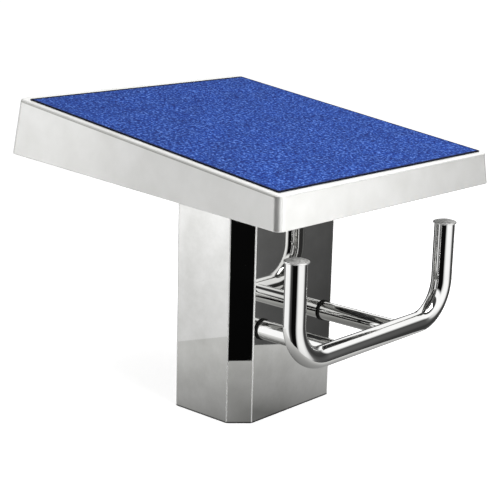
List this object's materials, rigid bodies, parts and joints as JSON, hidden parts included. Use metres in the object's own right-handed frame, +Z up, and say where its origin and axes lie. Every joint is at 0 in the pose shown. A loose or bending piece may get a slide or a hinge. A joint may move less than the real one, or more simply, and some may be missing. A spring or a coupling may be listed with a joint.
{
  "type": "swimming starting block",
  "caption": "Pool starting block: sloping anti-slip platform on a single steel column, with a U-shaped backstroke grip bar on the pool side.",
  "frame": {"origin": "centre of the column's foot, on the deck", "axes": "+Z up, -Y towards the pool, +X to the right of someone who looks along +Y from the pool"},
  "size_m": [0.5152, 0.5484, 0.4756],
  "materials": {
    "white_moulding": "satin white moulding",
    "blue_grit": "rough blue anti-slip grit",
    "laminate": "dark glass-fibre skin over a stiff core",
    "satin_steel": "satin stainless steel",
    "polished_steel": "polished stainless steel",
    "zinc_steel": "plain stainless fasteners",
    "black_rubber": "matt black rubber"
  },
  "bodies": {
    "root": {"platform_shell": "white_moulding", "antislip_pad": "blue_grit", "core_panel": "laminate", "frame_rail_left": "satin_steel", "frame_rail_right": "satin_steel", "frame_rail_front": "satin_steel", "frame_rail_rear": "satin_steel", "cross_bearer_front": "satin_steel", "cross_bearer_rear": "satin_steel", "bearer_boss_1": "satin_steel", "bearer_boss_2": "satin_steel", "bearer_boss_3": "satin_steel", "bearer_boss_4": "satin_steel", "head_plate": "satin_steel", "base_plate": "satin_steel", "access_cover": "satin_steel", "end_cap_left": "satin_steel", "end_cap_right": "satin_steel", "arm_plug_left": "satin_steel", "arm_plug_right": "satin_steel", "grip_backing_plate": "satin_steel", "column_shell": "polished_steel", "grip_bar": "polished_steel", "grip_arm_left": "polished_steel", "grip_arm_right": "polished_steel", "platform_bolt_1": "zinc_steel", "platform_bolt_2": "zinc_steel", "platform_bolt_3": "zinc_steel", "platform_bolt_4": "zinc_steel", "platform_washer_1": "zinc_steel", "platform_washer_2": "zinc_steel", "platform_washer_3": "zinc_steel", "platform_washer_4": "zinc_steel", "shell_bolt_1": "zinc_steel", "shell_bolt_2": "zinc_steel", "shell_bolt_3": "zinc_steel", "shell_bolt_4": "zinc_steel", "core_insert_1": "zinc_steel", "core_insert_2": "zinc_steel", "core_insert_3": "zinc_steel", "core_insert_4": "zinc_steel", "cover_screw_1": "zinc_steel", "cover_screw_2": "zinc_steel", "cover_screw_3": "zinc_steel", "cover_screw_4": "zinc_steel", "rivet_nut_1": "zinc_steel", "rivet_nut_2": "zinc_steel", "rivet_nut_3": "zinc_steel", "rivet_nut_4": "zinc_steel", "grip_bolt_left": "zinc_steel", "grip_bolt_right": "zinc_steel", "grip_washer_left": "zinc_steel", "grip_washer_right": "zinc_steel", "grip_gasket_left": "black_rubber", "grip_gasket_right": "black_rubber", "cover_gasket": "black_rubber"}
  },
  "joints": []
}
